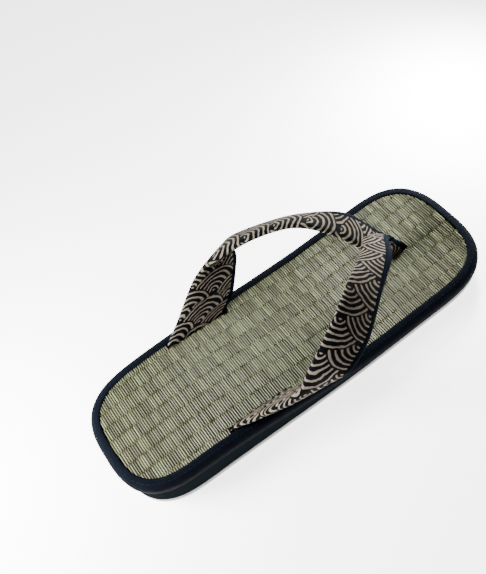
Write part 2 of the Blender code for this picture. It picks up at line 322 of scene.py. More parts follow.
def sole_half(s):
    """Half of the sole's outline, heel to toe, as (half width, along)."""
    heel = -0.5 * s.sole_length
    toe = 0.5 * s.sole_length
    power = 2.0 / CORNER_POWER
    points = []
    for step in range(1, END_STEPS + 1):
        angle = 0.5 * math.pi * step / END_STEPS
        along = heel + s.heel_round * (1.0 - math.cos(angle) ** power)
        points.append((side_width(s, along) * math.sin(angle) ** power, along))
    for step in range(1, SIDE_STEPS):
        along = heel + s.heel_round + (s.sole_length - s.heel_round - s.toe_round) * step / SIDE_STEPS
        points.append((side_width(s, along), along))
    for step in range(END_STEPS, 0, -1):
        angle = 0.5 * math.pi * step / END_STEPS
        along = toe - s.toe_round * (1.0 - math.cos(angle) ** power)
        points.append((side_width(s, along) * math.sin(angle) ** power, along))
    return points


def outward(points):
    """Outward direction at each point of the half outline, which closes across the middle at both ends."""
    found = []
    for index, (width, along) in enumerate(points):
        before = points[index - 1] if index else (-width, along)
        after = points[index + 1] if index + 1 < len(points) else (-width, along)
        run = Vector((after[0] - before[0], after[1] - before[1])).normalized()
        found.append((run.y, -run.x))
    return found


def outline(s, inset):
    """The half outline moved inwards by inset."""
    base = sole_half(s)
    return [
        (width - inset * out[0], along - inset * out[1])
        for (width, along), out in zip(base, outward(base))
    ]


def only(piece):
    bpy.ops.object.select_all(action="DESELECT")
    piece.select_set(True)
    bpy.context.view_layer.objects.active = piece


def mesh_piece(name, points, faces, finish, places=None, values=None, weld=0.0):
    """A smooth piece from points and faces, with a place in the cloth and named numbers for each point."""
    mesh = bpy.data.meshes.new(name)
    mesh.from_pydata(points, [], faces)
    for key, numbers in (values or {}).items():
        mesh.attributes.new(key, "FLOAT", "POINT").data.foreach_set("value", numbers)
    if places:
        layer = mesh.uv_layers.new(name="Cloth")
        for loop in mesh.loops:
            layer.data[loop.index].uv = places[loop.vertex_index]
    mesh.materials.append(finish)
    piece = bpy.data.objects.new(name, mesh)
    bpy.context.scene.collection.objects.link(piece)
    only(piece)
    bpy.ops.object.mode_set(mode="EDIT")
    bpy.ops.mesh.select_all(action="SELECT")
    if weld:
        bpy.ops.mesh.remove_doubles(threshold=weld)
    bpy.ops.mesh.normals_make_consistent(inside=False)
    bpy.ops.object.mode_set(mode="OBJECT")
    bpy.ops.object.shade_smooth_by_angle(angle=SHARP_ANGLE)
    return piece


def skin(rings, capped=True):
    """Points and faces of a tube through matching rings."""
    count = len(rings[0])
    points = [point for ring in rings for point in ring]
    faces = []
    for span in range(len(rings) - 1):
        for corner in range(count):
            following = (corner + 1) % count
            near, far = span * count, (span + 1) * count
            faces.append((near + corner, near + following, far + following, far + corner))
    if capped:
        faces.append(tuple(range(count)))
        faces.append(tuple(range(len(points) - count, len(points))))
    return points, faces


def gather(points, faces, rings):
    """Adds a closed tube to the points and faces of a piece, and gives its number of points."""
    new_points, new_faces = skin(rings)
    start = len(points)
    points += new_points
    faces += [tuple(start + index for index in face) for face in new_faces]
    return len(new_points)


def thread_section():
    """Round section of a thread of radius 1, as (outward, up)."""
    turns = [2.0 * math.pi * side / THREAD_SIDES for side in range(THREAD_SIDES)]
    return [(math.cos(turn), math.sin(turn)) for turn in turns]


def seated(piece, slot, *nodes):
    """Ties a finished piece to the frame and hides the solids that it stands for. The slot is not used."""
    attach(piece, "root")
    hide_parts(*nodes)
    return piece


def slab(s, name, inset, bottom, top, finish):
    """A sole layer with rounded edges, between two height functions."""
    rounding = s.edge_round
    levels = []
    for step in range(ROUND_STEPS + 1):
        angle = 0.5 * math.pi * step / ROUND_STEPS
        levels.append((rounding * (1.0 - math.sin(angle)), rounding * (1.0 - math.cos(angle)), bottom))
    for step in range(ROUND_STEPS, -1, -1):
        angle = 0.5 * math.pi * step / ROUND_STEPS
        levels.append((rounding * (1.0 - math.sin(angle)), -rounding * (1.0 - math.cos(angle)), top))
    rings = []
    rims = []
    for rank, (inward, rise, surface) in enumerate(levels):
        half = outline(s, inset + inward)
        loop = half + [(-width, along) for width, along in reversed(half)]
        rings.append([(side, along, surface(along) + rise) for side, along in loop])
        # rim marks the upper rounding of a layer; the foam mixes a painted highlight in there
        rims += [1.0 if rank > ROUND_STEPS + 1 else 0.0] * len(loop)
    points, faces = skin(rings, capped=False)
    count = len(rings[0])
    for start in (0, len(points) - count):
        for index in range(count // 2 - 1):
            other = count - 1 - index
            faces.append((start + index, start + index + 1, start + other - 1, start + other))
    return mesh_piece(name, points, faces, finish, values={"rim": rims})


def add(tree, kind, inputs=None, **settings):
    """A shader node with its settings and inputs; an input is a value or another node's output."""
    node = tree.nodes.new(kind)
    for name, value in settings.items():
        setattr(node, name, value)
    for name, value in (inputs or {}).items():
        if isinstance(value, bpy.types.NodeSocket):
            tree.links.new(value, node.inputs[name])
        else:
            node.inputs[name].default_value = value
    return node


def maths(tree, operation, *values):
    return add(tree, "ShaderNodeMath", dict(enumerate(values)), operation=operation).outputs[0]


def times(tree, first, second):
    return maths(tree, "MULTIPLY", first, second)


def parts(tree, source):
    """The three numbers of a vector."""
    return add(tree, "ShaderNodeSeparateXYZ", {0: source}).outputs


def cloth_place(tree):
    """Where a point lies along and across the cloth, in metres."""
    return parts(tree, add(tree, "ShaderNodeUVMap", uv_map="Cloth").outputs[0])


def blend(tree, share, first, second):
    """Colour between two colours or outputs."""
    ends = {"Factor": share, 6: opaque(first), 7: opaque(second)}
    return add(tree, "ShaderNodeMix", ends, data_type="RGBA").outputs[2]


def opaque(tint):
    return tint if isinstance(tint, bpy.types.NodeSocket) else (*tint, 1.0)


def grain(tree, scale, detail=2.0, stretch=(1.0, 1.0, 1.0), roughness=0.5):
    """Noise in the object's own metres."""
    place = add(tree, "ShaderNodeTexCoord").outputs["Object"]
    mapping = add(tree, "ShaderNodeMapping", {"Vector": place, "Scale": stretch})
    return add(tree, "ShaderNodeTexNoise", {
        "Vector": mapping.outputs[0], "Scale": scale, "Detail": detail, "Roughness": roughness,
    })


def finish(name, roughness, ior=1.5, **sockets):
    """An empty material with its shader, ready for a colour and a relief."""
    made = bpy.data.materials.new(name)
    made.use_nodes = True
    shader = made.node_tree.nodes["Principled BSDF"]
    shader.inputs["Roughness"].default_value = roughness
    shader.inputs["IOR"].default_value = ior
    for key, value in sockets.items():
        shader.inputs[key.replace("_", " ")].default_value = value
    return made, made.node_tree, shader


def relief(tree, shader, height, distance):
    bump = add(tree, "ShaderNodeBump", {"Height": height, "Strength": 1.0, "Distance": distance})
    tree.links.new(bump.outputs[0], shader.inputs["Normal"])


def tint(tree, shader, source):
    tree.links.new(source, shader.inputs["Base Color"])


def rubber_finish(c):
    """Pale moulded rubber: matte with a faint mottle, ribbed underneath for grip."""
    made, tree, shader = finish("Pale rubber, matte", 0.62, 1.52)
    mottle = grain(tree, RUBBER_MOTTLE, 4.0).outputs[0]
    tint(tree, shader, blend(tree, times(tree, mottle, 0.25), c.rubber, c.rubber_mottle))
    along = parts(tree, add(tree, "ShaderNodeTexCoord").outputs["Object"])[1]
    wave = maths(tree, "SINE", times(tree, along, 2.0 * math.pi / RIB_PITCH))
    facing = parts(tree, add(tree, "ShaderNodeNewGeometry").outputs["True Normal"])[2]
    under = maths(tree, "LESS_THAN", facing, RIB_FACING)
    relief(tree, shader, times(tree, wave, under), RIB_DEPTH)
    return made


def foam_finish(c):
    """Charcoal closed-cell foam: a fine pitted skin that scatters light, paler at its upper edge, where a
    painted highlight stands for the rounded edge catching the light.
    """
    made, tree, shader = finish("Charcoal foam, satin", 0.6, 1.49, Specular_IOR_Level=0.0)
    mottle = grain(tree, FOAM_MOTTLE, 5.0, (1.0, 1.0, 2.5)).outputs[0]
    # Painted highlight: the upper rounded edge, marked by rim, turns paler
    rim = add(tree, "ShaderNodeAttribute", attribute_name="rim").outputs["Fac"]
    ground = blend(tree, times(tree, mottle, 0.5), c.foam, c.foam_mottle)
    tint(tree, shader, blend(tree, rim, ground, c.foam_rim_highlight))
    relief(tree, shader, grain(tree, FOAM_PITS, 3.0).outputs[0], FOAM_DEPTH)
    return made


def rush_finish(c):
    """Dried rush: each strand has its own green-grey or straw tone, with fine streaks and a waxy gleam."""
    made, tree, shader = finish("Rush, dry with a soft gleam", 0.5, 1.47, Specular_IOR_Level=0.35)
    shade = add(tree, "ShaderNodeAttribute", attribute_name="shade").outputs["Fac"]
    patch = grain(tree, RUSH_PATCHES, 3.0).outputs[0]
    streak = grain(tree, RUSH_STREAKS, 2.0, (0.03, 1.0, 1.0)).outputs[0]
    low = times(tree, maths(tree, "SUBTRACT", DARK_BELOW, shade), DARK_RATE)
    high = times(tree, maths(tree, "SUBTRACT", shade, PALE_ABOVE), PALE_RATE)
    base = blend(tree, maths(tree, "MAXIMUM", low, 0.0), c.rush_green, c.rush_dark)
    base = blend(tree, maths(tree, "MAXIMUM", high, 0.0), base, c.rush_pale)
    base = blend(tree, times(tree, patch, 0.35), base, c.rush_straw)
    base = blend(tree, times(tree, streak, 0.5), base, c.rush_dark)
    tint(tree, shader, base)
    relief(tree, shader, streak, RUSH_DEPTH)
    return made


def backing_finish(c):
    """Rush and jute behind the floats, near black in a colour that is partly their own and partly painted
    shade: it gives the thin shadow lines between them.
    """
    made, tree, shader = finish("Rush backing, matte", 0.9, 1.45)
    fibre = grain(tree, BACKING_FIBRES, 3.0, (0.1, 1.0, 1.0)).outputs[0]
    # Painted shade: the backing and its fibres are near black, for the shadow lines between the floats
    tint(tree, shader, blend(tree, fibre, c.backing_painted_shade, c.backing_fibre_painted_shade))
    relief(tree, shader, fibre, BACKING_DEPTH)
    return made


def thread_finish(name, ground):
    """Twisted thread: matte, with the twist as fine ridges."""
    made, tree, shader = finish(name, 0.9, 1.5, Specular_IOR_Level=0.05)
    fibre = grain(tree, THREAD_FIBRES, 2.0).outputs[0]
    tint(tree, shader, blend(tree, fibre, ground, [0.7 * part for part in ground]))
    relief(tree, shader, grain(tree, THREAD_TWIST, 1.0, (1.0, 0.3, 1.0)).outputs[0], THREAD_DEPTH)
    return made


def weave(tree, pitch):
    """Plain weave in the cloth's own metres, with threads of one pitch both ways."""
    place = cloth_place(tree)
    turns = 2.0 * math.pi / pitch
    over = maths(tree, "SINE", times(tree, place[0], turns))
    across = maths(tree, "SINE", times(tree, place[1], turns))
    return times(tree, over, across)


def cotton_finish(c):
    """Navy cotton tape: a tight weave that shows close up, and small puckers from the sewing."""
    made, tree, shader = finish("Navy cotton tape, dry", 0.9, 1.5, Specular_IOR_Level=0.04)
    fade = grain(tree, COTTON_FADE, 4.0).outputs[0]
    tint(tree, shader, blend(tree, times(tree, fade, 0.6), c.cotton, c.cotton_fade))
    pucker = times(tree, grain(tree, COTTON_PUCKERS, 2.0).outputs[0], 1.6)
    threads = times(tree, weave(tree, COTTON_WEAVE), 0.22)
    relief(tree, shader, maths(tree, "ADD", threads, pucker), CLOTH_DEPTH)
    return made


def fan_place(tree, s, along, across, row):
    """Distance from the nearest fan centre of one row, and how far ahead of it, in metres."""
    ahead = maths(tree, "SUBTRACT", along, times(tree, row, s.fan_row))
    shift = times(tree, maths(tree, "FLOORED_MODULO", row, 2.0), s.fan_radius)
    width = 2.0 * s.fan_radius
    turns = maths(tree, "DIVIDE", maths(tree, "SUBTRACT", across, shift), width)
    aside = times(tree, maths(tree, "SUBTRACT", turns, maths(tree, "ROUND", turns)), width)
    square = maths(tree, "ADD", times(tree, ahead, ahead), times(tree, aside, aside))
    return maths(tree, "SQRT", square), ahead


def take(tree, share, first, second):
    """A number between two others."""
    return maths(tree, "ADD", first, times(tree, share, maths(tree, "SUBTRACT", second, first)))


def waves(tree, s):
    """Share of printed line in rows of overlapping fans, each with its lines round one centre."""
    place = cloth_place(tree)
    wobble = parts(tree, grain(tree, PRINT_WOBBLE, 2.0).outputs[1])
    along, across = [
        maths(tree, "ADD", place[axis], times(tree, maths(tree, "SUBTRACT", wobble[axis], 0.5), PRINT_WANDER))
        for axis in (0, 1)
    ]
    reach = maths(tree, "SUBTRACT", along, s.fan_radius)
    first = maths(tree, "CEIL", maths(tree, "DIVIDE", reach, s.fan_row))
    found, ahead = fan_place(tree, s, along, across, maths(tree, "ADD", first, 2.0))
    for rank in (1.0, 0.0):
        distance, before = fan_place(tree, s, along, across, maths(tree, "ADD", first, rank))
        inside = maths(tree, "LESS_THAN", distance, s.fan_radius)
        found = take(tree, inside, found, distance)
        ahead = take(tree, inside, ahead, before)
    line = maths(tree, "FRACT", maths(tree, "ADD", maths(tree, "DIVIDE", found, s.fan_line), 0.5))
    middle = maths(tree, "ABSOLUTE", maths(tree, "SUBTRACT", line, 0.5))
    swell = maths(tree, "SUBTRACT", grain(tree, PRINT_SWELL, 1.0).outputs[0], 0.5)
    edge = maths(tree, "ADD", middle, times(tree, swell, LINE_SWELL))
    inked = add(tree, "ShaderNodeMapRange", {
        "Value": edge, "From Min": LINE_OUTSIDE, "From Max": LINE_INSIDE, "To Min": 0.0, "To Max": 1.0,
    }, interpolation_type="SMOOTHSTEP").outputs[0]
    facing = maths(tree, "GREATER_THAN", ahead, times(tree, found, FAN_OPENING))
    dot = maths(tree, "LESS_THAN", found, DOT_RADIUS * s.fan_line)
    return times(tree, maths(tree, "MAXIMUM", inked, dot), facing)


def cloth_finish(s, c):
    """Soft padded strap cloth: hand-drawn waves in taupe on blue-black, slightly raised, brushed surface."""
    made, tree, shader = finish("Strap cloth, brushed, wave print", 0.85, 1.5, Specular_IOR_Level=0.05)
    print_share = waves(tree, s)
    fade = grain(tree, PRINT_FADE, 3.0).outputs[0]
    pale = blend(tree, times(tree, fade, 0.5), c.print, c.print_fade)
    tint(tree, shader, blend(tree, print_share, c.cloth, pale))
    raised = times(tree, print_share, 0.8)
    threads = times(tree, weave(tree, CLOTH_WEAVE), 0.2)
    relief(tree, shader, maths(tree, "ADD", raised, threads), CLOTH_DEPTH)
    return made


def velvet_finish(c):
    """Short navy velvet: almost black face on, with a blue gleam where the pile is seen from the side."""
    made, tree, shader = finish(
        "Navy velvet", 0.9, 1.45, Specular_IOR_Level=0.03, Sheen_Weight=0.05, Sheen_Roughness=0.4
    )
    shader.inputs["Sheen Tint"].default_value = (*c.velvet_sheen, 1.0)
    nap = grain(tree, VELVET_NAP, 3.0).outputs[0]
    tint(tree, shader, blend(tree, times(tree, nap, 0.7), c.velvet, c.velvet_nap))
    relief(tree, shader, nap, VELVET_DEPTH)
    return made


def floor_finish(c):
    """Pale studio floor: matte and even, lit from below like a light table."""
    made, tree, shader = finish("Studio floor, matte", 0.8)
    shader.inputs["Base Color"].default_value = (*c.floor, 1.0)
    shader.inputs["Emission Color"].default_value = (1.0, 1.0, 1.0, 1.0)
    shader.inputs["Emission Strength"].default_value = FLOOR_GLOW
    return made


def outsole(s, c):
    piece = slab(
        s,
        "outsole_rubber",
        s.wall_inset,
        lambda along: 0.0,
        lambda along: s.outsole_thickness,
        rubber_finish(c),
    )
    return seated(piece, "outsole_rubber", "outsole")


def midsole(s, c):
    piece = slab(
        s,
        "midsole_wedge",
        s.wall_inset,
        lambda along: s.outsole_thickness + s.clearance,
        lambda along: footbed_height(s, along) - s.footbed_thickness - s.clearance,
        foam_finish(c),
    )
    return seated(piece, "midsole_foam", "midsole")


def footbed_side(s, along):
    return side_width(s, along) - s.binding_width


def slot_along(s):
    return place_along(s, SLOT_CENTRE)


def slit_along(s):
    return place_along(s, SLIT_CENTRE)


def slot_side(s):
    """Middle of the strap where it comes up between footbed and binding."""
    return footbed_side(s, slot_along(s)) - s.slot_depth


def cut(piece, name, low, high):
    """Cuts a box out of a piece."""
    middle = [0.5 * (a + b) for a, b in zip(low, high)]
    bpy.ops.mesh.primitive_cube_add(size=1.0, location=middle)
    cutter = bpy.context.active_object
    cutter.name = name
    cutter.scale = [b - a for a, b in zip(low, high)]
    only(piece)
    modifier = piece.modifiers.new(name, "BOOLEAN")
    modifier.object = cutter
    modifier.operation = "DIFFERENCE"
    modifier.solver = "EXACT"
    bpy.ops.object.modifier_apply(modifier=name)
    bpy.data.objects.remove(cutter, do_unlink=True)


def mat_backing(s, c):
    """The footbed under its rush floats, notched at both sides for the strap and slit at the toe."""
    piece = slab(
        s,
        "mat_backing",
        s.binding_width,
        lambda along: footbed_height(s, along) - s.footbed_thickness,
        lambda along: footbed_height(s, along) - s.mat_drop,
        backing_finish(c),
    )
    low, high = s.outsole_thickness, s.heel_height + s.strap_rise
    inner = slot_side(s) - 0.5 * s.slot_strap - s.clearance
    rear = slot_along(s) - 0.5 * s.slot_length - s.clearance
    front = slot_along(s) + 0.5 * s.slot_length + s.clearance
    cut(piece, "slot_right", (inner, rear, low), (s.ball_width, front, high))
    cut(piece, "slot_left", (-s.ball_width, rear, low), (-inner, front, high))
    side = s.slit_spread + 0.5 * s.slit_strap + s.clearance
    reach = 0.5 * s.slit_length + s.clearance
    cut(piece, "slit", (-side, slit_along(s) - reach, low), (side, slit_along(s) + reach, high))
    return seated(piece, "rush_mat", "footbed")


def mat_reach(half, along):
    """Half width of the mat at a place along the sandal, or 0 beyond its ends."""
    for (near_width, near), (far_width, far) in zip(half, half[1:]):
        if near <= along <= far:
            return near_width + (far_width - near_width) * (along - near) / (far - near)
    return 0.0


def free_spans(s, half, along):
    """Stretches across the mat that the strap leaves free, as (left, right)."""
    reach = mat_reach(half, along)
    if abs(along - slot_along(s)) < 0.5 * s.slot_length + s.clearance:
        reach = min(reach, slot_side(s) - 0.5 * s.slot_strap - s.clearance)
    if reach <= 0.0:
        return []
    if abs(along - slit_along(s)) < 0.5 * s.slit_length + s.clearance:
        side = s.slit_spread + 0.5 * s.slit_strap + s.clearance
        return [(-reach, -side), (side, reach)]
    return [(-reach, reach)]


# One float of rush from end to end: where along it, how high and how wide, as shares
FLOAT_STATIONS = (
    (0.0, -0.70, 0.6),
    (0.05, -0.05, 0.85),
    (0.2, 0.22, 1.0),
    (0.8, 0.22, 1.0),
    (0.95, -0.05, 0.85),
    (1.0, -0.70, 0.6),
)
FLOAT_SECTION = (0.0, 45.0, 90.0, 135.0, 180.0)
FLOAT_RISE = 0.4
SHORTEST_FLOAT = 0.0009


def rush_float(s, left, right, along, width, lift):
    """Rings of one float from left to right."""
    rings = []
    height = s.rush_height
    for share, rise, spread in FLOAT_STATIONS:
        side = left + (right - left) * share
        ring = []
        for degrees in FLOAT_SECTION:
            angle = math.radians(degrees)
            place = along + 0.5 * width * spread * math.cos(angle)
            level = footbed_height(s, place) - s.mat_drop + lift + FLOAT_RISE * height * rise
            ring.append((side, place, level + height * math.sin(angle)))
        rings.append(ring)
    return rings


def rush_floats(s, c):
    """Every float of the weave, in columns between the warp threads.

    Every other column is shifted by half a pitch. A strand comes up in every other column, in one tone.
    """
    random.seed(FLOAT_SEED)
    half = outline(s, s.binding_width - s.float_tuck)
    columns = math.ceil(0.5 * s.ball_width / s.warp_pitch)
    rows = math.ceil(s.sole_length / s.rush_pitch)
    points, faces, shades = [], [], []
    strands = [[random.gauss(STRAND_TONE, STRAND_SPREAD) for _ in range(rows)] for _ in range(2)]
    for column in range(-columns, columns + 1):
        drift = 0.5 * s.rush_pitch * (column % 2)
        for row in range(rows):
            along = -0.5 * s.sole_length + row * s.rush_pitch + drift
            along += random.uniform(*FLOAT_SHIFT) * s.rush_pitch
            width = s.rush_pitch * random.uniform(*FLOAT_WIDTH)
            lift = random.uniform(*FLOAT_LIFT) * s.rush_height
            shade = min(max(strands[column % 2][row] + random.gauss(0.0, FLOAT_SPREAD), 0.0), 1.0)
            for low, high in free_spans(s, half, along):
                left = max(low, (column - 0.5) * s.warp_pitch - random.uniform(*FLOAT_ENDS) * s.rush_pitch)
                right = min(high, (column + 0.5) * s.warp_pitch + random.uniform(*FLOAT_ENDS) * s.rush_pitch)
                if right - left < SHORTEST_FLOAT:
                    continue
                added = gather(points, faces, rush_float(s, left, right, along, width, lift))
                shades += [shade] * added
    piece = mesh_piece("rush_floats", points, faces, rush_finish(c), values={"shade": shades})
    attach(piece, "root")
    return piece


def warp_threads(s, c):
    """Thin threads along the sandal, in the dips between the columns of floats."""
    half = outline(s, s.binding_width + s.clearance)
    points, faces = [], []
    lines = math.floor(0.5 * s.ball_width / s.warp_pitch)
    for line in range(-lines, lines):
        side = (line + 0.5) * s.warp_pitch
        steps = [place_along(s, step / WARP_STEPS) for step in range(WARP_STEPS + 1)]
        alongs = [along for along in steps if mat_reach(half, along) > abs(side) + s.warp_radius]
        if len(alongs) < 3:
            continue
        rings = []
        for along in alongs:
            level = footbed_height(s, along) - WARP_DEPTH * s.mat_drop
            rings.append([
                (side + s.warp_radius * out, along, level + s.warp_radius * up)
                for out, up in thread_section()
            ])
        gather(points, faces, rings)
    piece = mesh_piece("warp_threads", points, faces, thread_finish("Hemp thread", c.warp))
    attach(piece, "root")
    return piece


def arc(centre, wide, high, start, steps):
    """Points clockwise on a quarter of an oval of a section, as (outward, up)."""
    angles = [math.radians(start - 90.0 * step / steps) for step in range(steps + 1)]
    return [(centre[0] + wide * math.cos(angle), centre[1] + high * math.sin(angle)) for angle in angles]


def binding_section(s):
    """Section of the folded tape, outward from the footbed's edge and up from its top."""
    lip, foot = s.binding_lip, s.binding_foot
    inner = s.clearance + lip
    low = -s.footbed_thickness
    section = [(s.clearance, low)]
    section += arc((inner, s.binding_rise - lip), lip, lip, 180.0, ROUND_STEPS)
    section += arc(
        (inner, s.binding_rise - s.binding_fall), s.binding_width - inner, s.binding_fall, 90.0, FALL_STEPS
    )[1:]
    section += arc((s.binding_width - foot, low + foot), foot, foot, 0.0, ROUND_STEPS)
    return section


def round_outline(s, inset):
    """The whole outline as (side, along, outward side, outward along), from the heel round by the right."""
    base = outline(s, inset)
    half = [(width, along, *out) for (width, along), out in zip(base, outward(base))]
    return half + [(-width, along, -out, ahead) for width, along, out, ahead in reversed(half)]


def binding(s, c):
    """The tape round the footbed's edge, swept round the whole outline."""
    section = binding_section(s)
    track = round_outline(s, s.binding_width)
    track.append(track[0])
    widths = [0.0]
    for (near_out, near_up), (far_out, far_up) in zip(section, section[1:]):
        widths.append(widths[-1] + math.hypot(far_out - near_out, far_up - near_up))
    rings, places, run = [], [], 0.0
    for index, (side, along, out, ahead) in enumerate(track):
        if index:
            run += math.hypot(side - track[index - 1][0], along - track[index - 1][1])
        height = footbed_height(s, along)
        rings.append([(side + out * reach, along + ahead * reach, height + up) for reach, up in section])
        places += [(run, width) for width in widths]
    points, faces = skin(rings, capped=False)
    piece = mesh_piece("binding_tape", points, faces, cotton_finish(c), places, weld=1e-7)
    return seated(piece, "binding_cotton", "binding")


def stitches(s, c):
    """A line of short stitches along the middle of the tape, each a thread that dips in at both ends."""
    section = binding_section(s)
    out_place, up_place = section[ROUND_STEPS + 1 + FALL_STEPS // 3]
    track = round_outline(s, s.binding_width)
    line = [
        Vector((side + out * out_place, along + ahead * out_place, footbed_height(s, along) + up_place))
        for side, along, out, ahead in track
    ]
    line.append(line[0])
    runs = [0.0]
    for near, far in zip(line, line[1:]):
        runs.append(runs[-1] + (far - near).length)

    def at(run):
        run %= runs[-1]
        index = next(place for place, end in enumerate(runs[1:]) if end >= run)
        share = (run - runs[index]) / (runs[index + 1] - runs[index])
        return line[index].lerp(line[index + 1], share)

    count = round(runs[-1] / s.stitch_pitch)
    points, faces = [], []
    for number in range(count):
        middle = runs[-1] * number / count
        rings = []
        ahead = (at(middle + 0.5 * s.stitch_length) - at(middle - 0.5 * s.stitch_length)).normalized()
        aside = ahead.cross(Vector((0.0, 0.0, 1.0))).normalized()
        for share, rise in STITCH_STATIONS:
            centre = at(middle + share * s.stitch_length) + Vector((0.0, 0.0, rise * s.stitch_radius))
            rings.append([
                tuple(centre + s.stitch_radius * (aside * out + Vector((0.0, 0.0, up))))
                for out, up in thread_section()
            ])
        gather(points, faces, rings)
    piece = mesh_piece("binding_stitches", points, faces, thread_finish("Navy thread", c.thread))
    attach(piece, "root")
    return piece


def leg_point(s, row, edge):
    """One edge of one table row as a place above the footbed."""
    value = dict(zip(LEG_COLUMNS, row))
    along = slot_along(s) + value[edge + "_along"] * (slit_along(s) - slot_along(s))
    return Vector((
        value[edge + "_side"] * (slot_side(s) + s.strap_flare),
        along,
        footbed_height(s, along) + value[edge + "_rise"] * s.strap_rise,
    ))


def slot_row(s, side, middle, span, rise, thickness):
    """A row whose width lies along the sandal, where the strap passes through the footbed."""
    rear = middle - 0.5 * span
    front = middle + 0.5 * span
    return (
        Vector((side, rear, footbed_height(s, rear) + rise)),
        Vector((side, front, footbed_height(s, front) + rise)),
        thickness,
    )


def leg_rows(s, crossing, slit_side):
    """Rear edge, front edge and thickness of every row of a right leg, from its slot to the toe slit."""
    seat = s.seat - s.footbed_thickness
    rows = [
        slot_row(s, slot_side(s), slot_along(s), s.slot_length, seat, s.slot_strap),
        slot_row(s, slot_side(s), slot_along(s), s.slot_length, 0.0, s.slot_strap),
    ]
    for row in (*LEG_ROWS, crossing):
        thickness = row[LEG_COLUMNS.index("thick")] * s.strap_thickness
        rows.append((leg_point(s, row, "rear"), leg_point(s, row, "front"), thickness))
    rows.append(slot_row(s, slit_side, slit_along(s), s.slit_length, s.binding_rise, s.slit_strap))
    rows.append(slot_row(s, slit_side, slit_along(s), s.slit_length, seat, s.slit_strap))
    return rows


def mirrored(rows):
    """The same rows for the left leg."""
    flip = Vector((-1.0, 1.0, 1.0))
    return [(rear * flip, front * flip, thickness) for rear, front, thickness in rows]


def both_legs(s):
    """Rows of the right leg, which lies over, and of the left leg."""
    over = leg_rows(s, OVER_ROW, -s.slit_spread)
    return over, mirrored(leg_rows(s, UNDER_ROW, -s.slit_spread))


def slope(before, after):
    """Slope of a curve through the rows, level beside a stretch that stands still."""
    if before * after == 0.0:
        return 0.0
    return 0.5 * (before + after)


def steady(values, position):
    """Smooth value at a fractional row."""
    last = len(values) - 1
    index = min(int(position), last - 1)
    share = position - index
    steps = [far - near for near, far in zip(values, values[1:])]
    rise = steps[index]
    start = slope(steps[index - 1], rise) if index else rise
    stop = slope(rise, steps[index + 1]) if index + 1 < last else rise
    bend = 3.0 * rise - 2.0 * start - stop
    turn = start + stop - 2.0 * rise
    return values[index] + start * share + bend * share**2 + turn * share**3


def between(points, position):
    """The same for places, axis by axis."""
    return Vector(steady([point[axis] for point in points], position) for axis in range(3))


def leg_frames(rows, end):
    """Centre, width and thickness directions, half width and half thickness, at even steps along a leg."""
    rears, fronts, thicknesses = zip(*rows)
    steps = round(end * SPAN_STEPS)
    positions = [end * step / steps for step in range(steps + 1)]
    edges = [(between(rears, place), between(fronts, place)) for place in positions]
    centres = [0.5 * (rear + front) for rear, front in edges]
    frames = []
    for step, (rear, front) in enumerate(edges):
        run = centres[min(step + 1, steps)] - centres[max(step - 1, 0)]
        across = (front - rear).normalized()
        outer = across.cross(run).normalized()
        half = 0.5 * (front - rear).length
        frames.append((centres[step], across, outer, half, 0.5 * steady(thicknesses, positions[step])))
    return frames


def rounded(half, deep, angle):
    """A point of the strap's flat rounded section."""
    power = 2.0 / SECTION_POWER
    across = math.copysign(abs(math.cos(angle)) ** power, math.cos(angle))
    up = math.copysign(abs(math.sin(angle)) ** power, math.sin(angle))
    return half * across, deep * up


def split_angle(half, width):
    """Angle at which the section is width away from its front edge."""
    return math.acos(((half - width) / half) ** (0.5 * SECTION_POWER))


def leg(s, name, rows, part, material, direction=1.0, phase=(0.0, 0.0), end=None):
    """The cover or the edging of a leg: a loft of rounded sections, with its places in the cloth."""
    rings, places, run, before = [], [], 0.0, None
    for centre, across, outer, half, deep in leg_frames(rows, end or len(rows) - 1):
        if before is not None:
            run += (centre - before).length
        before = centre
        if part == "cover":
            split = split_angle(half, s.edging_width + s.clearance)
            steps, first, sweep = SECTION_STEPS, split, 2.0 * math.pi - 2.0 * split
        else:
            split = split_angle(half, s.edging_width)
            steps, first, sweep = SECTION_STEPS // 3, -split, 2.0 * split
            deep -= s.edging_step
        angles = [first + sweep * step / steps for step in range(steps + 1)]
        ring = []
        widths = [0.0]
        for angle in angles:
            reach, up = rounded(half, deep, angle)
            point = centre + across * reach + outer * up
            ripple = sum(noise.noise(point * scale) * height for scale, height in STRAP_RIPPLES)
            point = point + outer * math.copysign(ripple, ripple * math.sin(angle))
            if ring:
                widths.append(widths[-1] + (point - ring[-1]).length)
            ring.append(point)
        top = min(range(len(angles)), key=lambda place: abs(angles[place] - 0.5 * math.pi))
        rings.append(ring)
        places += [(direction * run + phase[0], width - widths[top] + phase[1]) for width in widths]
    points, faces = skin(rings)
    return mesh_piece(name, points, faces, material, places)


def strap(s, c):
    """Both legs of the padded strap as one piece, the right one over the left where they cross."""
    over, under = both_legs(s)
    cloth = cloth_finish(s, c)
    piece = leg(s, "strap_legs", under, "cover", cloth, 1.0, LEFT_PRINT)
    right = leg(s, "strap_right_leg", over, "cover", cloth, -1.0, RIGHT_PRINT)
    bpy.ops.object.select_all(action="DESELECT")
    right.select_set(True)
    piece.select_set(True)
    bpy.context.view_layer.objects.active = piece
    bpy.ops.object.join()
    seated(piece, "strap_cloth", "strap")
    return piece


def edgings(s, c):
    """Velvet along the front edge of each leg. The right one ends where the legs cross."""
    velvet = velvet_finish(c)
    over, under = both_legs(s)
    tucked = len(over) - 1 - ROWS_IN_SLIT + EDGING_TUCK
    left = leg(s, "velvet_left", under, "edging", velvet)
    right = leg(s, "velvet_right", over, "edging", velvet, end=tucked)
    seated(left, "edging_velvet", "strap_edging_left")
    seated(right, "edging_velvet", "strap_edging_right")
    return left, right


